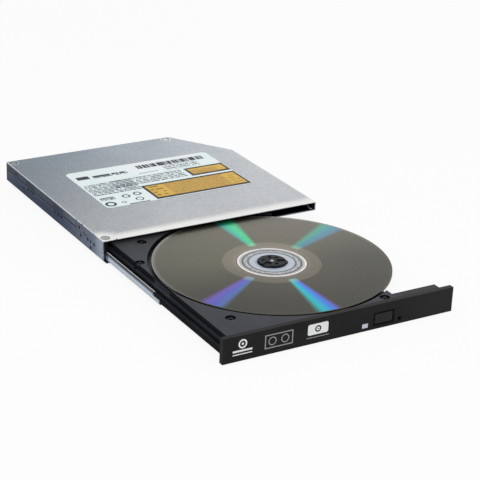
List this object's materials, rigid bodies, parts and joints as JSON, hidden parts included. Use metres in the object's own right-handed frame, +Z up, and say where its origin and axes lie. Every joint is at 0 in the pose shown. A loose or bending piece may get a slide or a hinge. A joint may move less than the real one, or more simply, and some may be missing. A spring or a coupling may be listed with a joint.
{
  "type": "laptop dvd drive",
  "caption": "Slim tray-loading disc drive with its tray open on two rails, a disc on the spindle, an eject button in the bezel and a connector at the back.",
  "frame": {"origin": "centre of the chassis underside, the tray and bezel not counted", "axes": "+Z up, +Y to the rear along the tray's travel, +X to the right seen from the bezel"},
  "size_m": [0.1282, 0.249, 0.0129],
  "materials": {
    "steel_case": "zinc-coated sheet steel, satin",
    "steel_screw": "nickel-plated steel",
    "paper_label": "printed paper label",
    "spring_steel": "bright spring steel",
    "guide_plastic": "moulded black acetal",
    "rail_steel": "drawn steel channel",
    "cap_plastic": "black plastic end",
    "board_green": "green solder mask",
    "chip_black": "moulded chip cases",
    "connector_plastic": "black connector plastic",
    "contact_gold": "gold-plated contacts",
    "socket_plastic": "ivory connector plastic",
    "ribbon_film": "amber polyimide film",
    "tray_plastic": "dark slate-grey moulded plastic",
    "bezel_plastic": "fine-textured black plastic",
    "button_plastic": "black plastic button",
    "lamp_plastic": "milky clear plastic",
    "cover_steel": "thin sheet steel",
    "frame_steel": "pressed steel plate",
    "damper_rubber": "soft black rubber",
    "bearing_bronze": "sintered bronze",
    "core_steel": "stacked silicon steel sheets",
    "coil_copper": "enamelled copper wire",
    "rotor_steel": "plated drawn steel",
    "magnet_dark": "bonded magnet ring",
    "shaft_steel": "ground steel",
    "turntable_plastic": "dark moulded plastic",
    "pad_rubber": "non-slip rubber ring",
    "hub_plastic": "black moulded plastic",
    "disc_clear": "polycarbonate over a mirror layer",
    "sled_metal": "die-cast zinc",
    "laser_plastic": "dark sensor case",
    "yoke_steel": "bent steel yoke",
    "lens_plastic": "dark lens holder plastic",
    "lens_glass": "coated objective lens",
    "motor_steel": "plated motor can",
    "nut_plastic": "ivory acetal",
    "switch_plastic": "black switch case",
    "lever_plastic": "natural acetal",
    "solenoid_steel": "plated solenoid frame",
    "pusher_plastic": "black acetal"
  },
  "bodies": {
    "chassis": {"bottom_case": "steel_case", "top_cover": "steel_case", "case_screws": "steel_screw", "top_label": "paper_label", "wing_leaf": "spring_steel", "latch_pin": "spring_steel", "rail_guides": "guide_plastic", "main_circuit_board": "board_green", "board_chips": "chip_black", "rear_connector": "connector_plastic", "connector_contacts": "contact_gold", "ribbon_socket": "socket_plastic", "ribbon_cable": "ribbon_film"},
    "rail_left_body": {"rail_left": "rail_steel", "rail_end_cap_left": "cap_plastic"},
    "rail_right_body": {"rail_right": "rail_steel", "rail_end_cap_right": "cap_plastic"},
    "tray_body": {"tray": "tray_plastic", "front_bezel": "bezel_plastic", "light_pipe": "lamp_plastic", "tray_bottom_cover": "cover_steel", "tray_screws": "steel_screw", "relay_socket": "socket_plastic", "traverse_frame": "frame_steel", "damper_grommets": "damper_rubber", "damper_screws": "steel_screw", "motor_base": "frame_steel", "motor_bearing": "bearing_bronze", "stator_core": "core_steel", "stator_coils": "coil_copper", "guide_rods": "shaft_steel", "rod_holders": "guide_plastic", "sled_stepper": "motor_steel", "screw_bracket": "frame_steel", "tray_circuit_board": "board_green", "eject_switch": "switch_plastic", "solenoid_body": "solenoid_steel", "ejection_spring": "spring_steel"},
    "spindle": {"spindle_rotor": "rotor_steel", "rotor_magnet": "magnet_dark", "spindle_shaft": "shaft_steel", "turntable": "turntable_plastic", "turntable_pad": "pad_rubber", "hub_cap": "hub_plastic", "disc": "disc_clear"},
    "claw_1": {"hub_claw_1": "hub_plastic"},
    "claw_2": {"hub_claw_2": "hub_plastic"},
    "claw_3": {"hub_claw_3": "hub_plastic"},
    "sled": {"pickup_body": "sled_metal", "pickup_laser": "laser_plastic", "actuator_yoke": "yoke_steel", "actuator_magnets": "magnet_dark", "half_nut": "nut_plastic"},
    "lens": {"lens_holder": "lens_plastic", "objective_lens": "lens_glass"},
    "screw": {"lead_screw": "shaft_steel"},
    "button": {"eject_button": "button_plastic"},
    "latch": {"latch_lever": "lever_plastic"},
    "plunger": {"solenoid_plunger": "shaft_steel"},
    "pusher": {"ejection_pusher": "pusher_plastic"}
  },
  "joints": [
    {"name": "tray_slide", "type": "slide", "parent": "chassis", "child": "tray_body", "axis": [0, 1, 0], "range_m": [0, 0.1196], "deforming": ["ribbon_cable"]},
    {"name": "rail_left_slide", "type": "slide", "parent": "chassis", "child": "rail_left_body", "axis": [0, 1, 0], "range_m": [0, 0.0598]},
    {"name": "rail_right_slide", "type": "slide", "parent": "chassis", "child": "rail_right_body", "axis": [0, 1, 0], "range_m": [0, 0.0598]},
    {"name": "spindle_spin", "type": "hinge", "parent": "tray_body", "child": "spindle", "pos_m": [0.0025, -0.11825, 0], "axis": [0, 0, 1], "continuous": true},
    {"name": "sled_slide", "type": "slide", "parent": "tray_body", "child": "sled", "axis": [-0.7071, -0.7071, 0], "range_m": [0, 0.0335]},
    {"name": "lead_screw_spin", "type": "hinge", "parent": "tray_body", "child": "screw", "pos_m": [0.01297, -0.13678, 0.0051], "axis": [-0.7071, -0.7071, 0], "range_deg": [0, 4021]},
    {"name": "lens_focus", "type": "slide", "parent": "sled", "child": "lens", "axis": [0, 0, 1], "range_m": [-0.0004, 0.0004], "stiffness_N_per_m": 30},
    {"name": "eject_button_press", "type": "slide", "parent": "tray_body", "child": "button", "axis": [0, 1, 0], "range_m": [0, 0.0005], "stiffness_N_per_m": 1500},
    {"name": "plunger_slide", "type": "slide", "parent": "tray_body", "child": "plunger", "axis": [1, 0, 0], "range_m": [0, 0.00183]},
    {"name": "latch_swing", "type": "hinge", "parent": "tray_body", "child": "latch", "pos_m": [0.0293, -0.17805, 0.0019], "axis": [0, 0, -1], "range_deg": [0, 13.05]},
    {"name": "pusher_slide", "type": "slide", "parent": "tray_body", "child": "pusher", "axis": [0, -1, 0], "range_m": [0, 0.012], "stiffness_N_per_m": 60, "springref_m": -0.004, "deforming": ["ejection_spring"]},
    {"name": "claw_1_press", "type": "slide", "parent": "spindle", "child": "claw_1", "axis": [0, -1, 0], "range_m": [0, 0.0006], "stiffness_N_per_m": 400},
    {"name": "claw_2_press", "type": "slide", "parent": "spindle", "child": "claw_2", "axis": [0.866, 0.5, 0], "range_m": [0, 0.0006], "stiffness_N_per_m": 400},
    {"name": "claw_3_press", "type": "slide", "parent": "spindle", "child": "claw_3", "axis": [-0.866, 0.5, 0], "range_m": [0, 0.0006], "stiffness_N_per_m": 400}
  ],
  "couplings": [
    {"joint": "rail_left_slide", "follows": "tray_slide", "ratio": 0.5},
    {"joint": "rail_right_slide", "follows": "tray_slide", "ratio": 0.5},
    {"joint": "lead_screw_spin", "follows": "sled_slide", "rad_per_m": 2094.4},
    {"joint": "latch_swing", "follows": "plunger_slide", "rad_per_m": 123.81}
  ]
}
